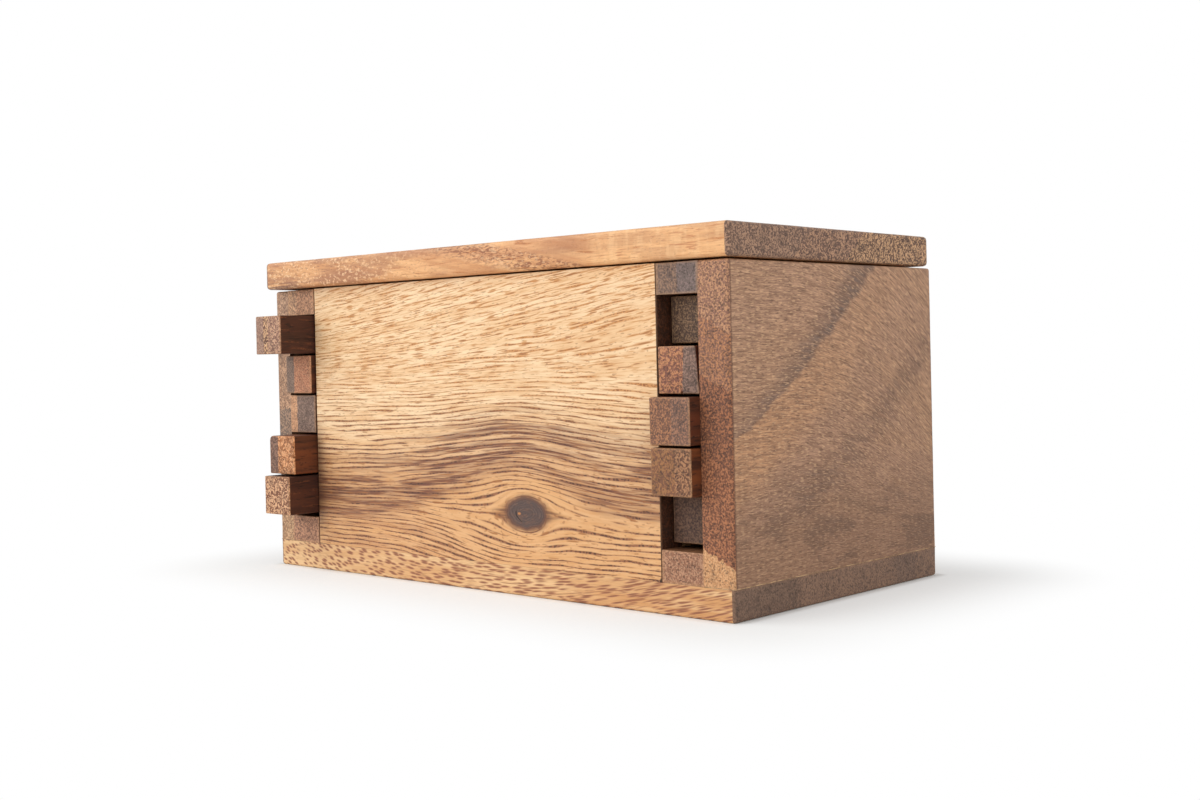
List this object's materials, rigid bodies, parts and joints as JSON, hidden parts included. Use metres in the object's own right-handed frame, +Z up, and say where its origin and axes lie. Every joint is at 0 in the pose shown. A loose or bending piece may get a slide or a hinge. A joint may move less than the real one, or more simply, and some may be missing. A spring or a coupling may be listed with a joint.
{
  "type": "wooden secret box",
  "caption": "Small wooden puzzle box whose lid is freed by sliding square keys that pass through each end, with a keepsake compartment inside.",
  "frame": {"origin": "centre of the base board's underside, midway between its ends and its front and back edges", "axes": "+X along the front towards the right end, +Y from front to back, +Z up"},
  "size_m": [0.1624, 0.1052, 0.0845],
  "materials": {
    "base_wood": "sanded, light oil, dark vessel flecks",
    "side_wood": "sanded and oiled, brown-grey figure",
    "panel_wood": "sanded and oiled, golden with dark vessel lines",
    "rail_wood": "sanded end grain",
    "key_wood": "sanded and oiled, speckled end grain",
    "lid_wood": "sanded and oiled, orange-brown",
    "inner_wood": "sanded, bare",
    "lock_wood": "planed, bare"
  },
  "bodies": {
    "box": {"base_board": "base_wood", "left_side_panel": "side_wood", "right_side_panel": "side_wood", "front_panel": "panel_wood", "back_panel": "panel_wood", "left_inner_wall": "inner_wood", "right_inner_wall": "inner_wood", "left_bottom_rail": "rail_wood", "right_bottom_rail": "rail_wood", "left_top_rail": "rail_wood", "right_top_rail": "rail_wood"},
    "lid": {"lid_board": "lid_wood", "left_lock_bar": "lock_wood", "right_lock_bar": "lock_wood", "left_lock_peg_1": "lock_wood", "left_lock_peg_2": "lock_wood", "left_lock_peg_3": "lock_wood", "left_lock_peg_4": "lock_wood", "left_lock_peg_5": "lock_wood", "right_lock_peg_1": "lock_wood", "right_lock_peg_2": "lock_wood", "right_lock_peg_3": "lock_wood", "right_lock_peg_4": "lock_wood", "right_lock_peg_5": "lock_wood"},
    "left_key_1": {"left_key_1": "key_wood"},
    "left_key_2": {"left_key_2": "key_wood"},
    "left_key_3": {"left_key_3": "key_wood"},
    "left_key_4": {"left_key_4": "key_wood"},
    "left_key_5": {"left_key_5": "key_wood"},
    "right_key_1": {"right_key_1": "key_wood"},
    "right_key_2": {"right_key_2": "key_wood"},
    "right_key_3": {"right_key_3": "key_wood"},
    "right_key_4": {"right_key_4": "key_wood"},
    "right_key_5": {"right_key_5": "key_wood"}
  },
  "joints": [
    {"name": "lid_lift", "type": "slide", "parent": "box", "child": "lid", "axis": [0, 0, 1], "range_m": [0, 0.07]},
    {"name": "left_key_1_slide", "type": "slide", "parent": "box", "child": "left_key_1", "axis": [0, -1, 0], "range_m": [-0.01636, 0.00104]},
    {"name": "left_key_2_slide", "type": "slide", "parent": "box", "child": "left_key_2", "axis": [0, -1, 0], "range_m": [-0.0067, 0.0107]},
    {"name": "left_key_3_slide", "type": "slide", "parent": "box", "child": "left_key_3", "axis": [0, -1, 0], "range_m": [-0.0055, 0.0119]},
    {"name": "left_key_4_slide", "type": "slide", "parent": "box", "child": "left_key_4", "axis": [0, -1, 0], "range_m": [-0.0127, 0.0047]},
    {"name": "left_key_5_slide", "type": "slide", "parent": "box", "child": "left_key_5", "axis": [0, -1, 0], "range_m": [-0.01462, 0.00278]},
    {"name": "right_key_1_slide", "type": "slide", "parent": "box", "child": "right_key_1", "axis": [0, -1, 0], "range_m": [-0.0007, 0.0167]},
    {"name": "right_key_2_slide", "type": "slide", "parent": "box", "child": "right_key_2", "axis": [0, -1, 0], "range_m": [-0.0055, 0.0119]},
    {"name": "right_key_3_slide", "type": "slide", "parent": "box", "child": "right_key_3", "axis": [0, -1, 0], "range_m": [-0.00889, 0.00851]},
    {"name": "right_key_4_slide", "type": "slide", "parent": "box", "child": "right_key_4", "axis": [0, -1, 0], "range_m": [-0.0087, 0.0087]},
    {"name": "right_key_5_slide", "type": "slide", "parent": "box", "child": "right_key_5", "axis": [0, -1, 0], "range_m": [-0.0015, 0.0159]}
  ]
}
